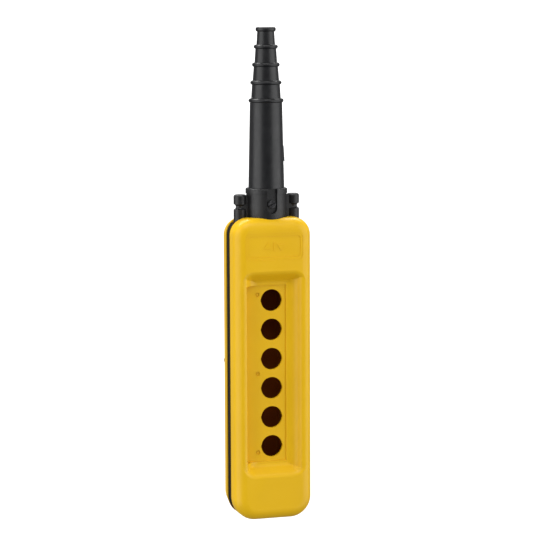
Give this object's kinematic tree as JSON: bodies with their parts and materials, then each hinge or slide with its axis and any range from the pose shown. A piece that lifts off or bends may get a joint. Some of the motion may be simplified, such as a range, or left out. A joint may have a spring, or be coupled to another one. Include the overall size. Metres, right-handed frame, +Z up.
{
  "type": "pendant control station",
  "caption": "Hanging hand-held enclosure with a shielded row of empty operator cut-outs, a gasketed two-part shell, a support collar and a stepped rubber cable sleeve.",
  "frame": {"origin": "centre of the cable entry, on the sleeve's axis at the very top of the sleeve", "axes": "+Z up along the sleeve towards the cable, -Y the front face with the operators, +X to the right seen from the front"},
  "size_m": [0.0816, 0.065, 0.5],
  "materials": {
    "shell_plastic": "moulded yellow thermoplastic, fine satin gloss",
    "sleeve_rubber": "moulded rubber, smooth and slightly shiny",
    "collar_plastic": "glass filled black plastic, fine grain",
    "seal_rubber": "soft seal rubber, matt",
    "black_steel": "blackened steel",
    "plain_steel": "zinc plated steel",
    "insert_brass": "turned brass",
    "washer_plastic": "natural nylon"
  },
  "bodies": {
    "case": {"rear_shell": "shell_plastic", "shell_gasket": "seal_rubber", "support_collar": "collar_plastic", "collar_seal": "seal_rubber", "cable_sleeve": "sleeve_rubber", "sleeve_lock_screw": "black_steel", "screw_seals": "seal_rubber", "clamp_inserts": "insert_brass", "clamp_pad": "seal_rubber"},
    "front_cover": {"front_shell": "shell_plastic", "front_inserts": "insert_brass"},
    "cable_clamp": {"clamp_saddle": "collar_plastic", "clamp_washers": "plain_steel", "clamp_screws": "plain_steel"},
    "screw_1": {"cover_screw_1": "black_steel", "captive_washer_1": "washer_plastic"},
    "screw_2": {"cover_screw_2": "black_steel", "captive_washer_2": "washer_plastic"},
    "screw_3": {"cover_screw_3": "black_steel", "captive_washer_3": "washer_plastic"},
    "screw_4": {"cover_screw_4": "black_steel", "captive_washer_4": "washer_plastic"},
    "screw_5": {"cover_screw_5": "black_steel", "captive_washer_5": "washer_plastic"},
    "screw_6": {"cover_screw_6": "black_steel", "captive_washer_6": "washer_plastic"}
  },
  "joints": [
    {"name": "front_cover_lift", "type": "slide", "parent": "case", "child": "front_cover", "axis": [0, -1, 0], "range_m": [0, 0.06]},
    {"name": "cable_clamp_tighten", "type": "slide", "parent": "case", "child": "cable_clamp", "axis": [0, 1, 0], "range_m": [0, 0.015]},
    {"name": "cover_screw_1_back_out", "type": "slide", "parent": "case", "child": "screw_1", "axis": [0, 1, 0], "range_m": [0, 0.0084]},
    {"name": "cover_screw_2_back_out", "type": "slide", "parent": "case", "child": "screw_2", "axis": [0, 1, 0], "range_m": [0, 0.0084]},
    {"name": "cover_screw_3_back_out", "type": "slide", "parent": "case", "child": "screw_3", "axis": [0, 1, 0], "range_m": [0, 0.0084]},
    {"name": "cover_screw_4_back_out", "type": "slide", "parent": "case", "child": "screw_4", "axis": [0, 1, 0], "range_m": [0, 0.0084]},
    {"name": "cover_screw_5_back_out", "type": "slide", "parent": "case", "child": "screw_5", "axis": [0, 1, 0], "range_m": [0, 0.0084]},
    {"name": "cover_screw_6_back_out", "type": "slide", "parent": "case", "child": "screw_6", "axis": [0, 1, 0], "range_m": [0, 0.0084]}
  ]
}
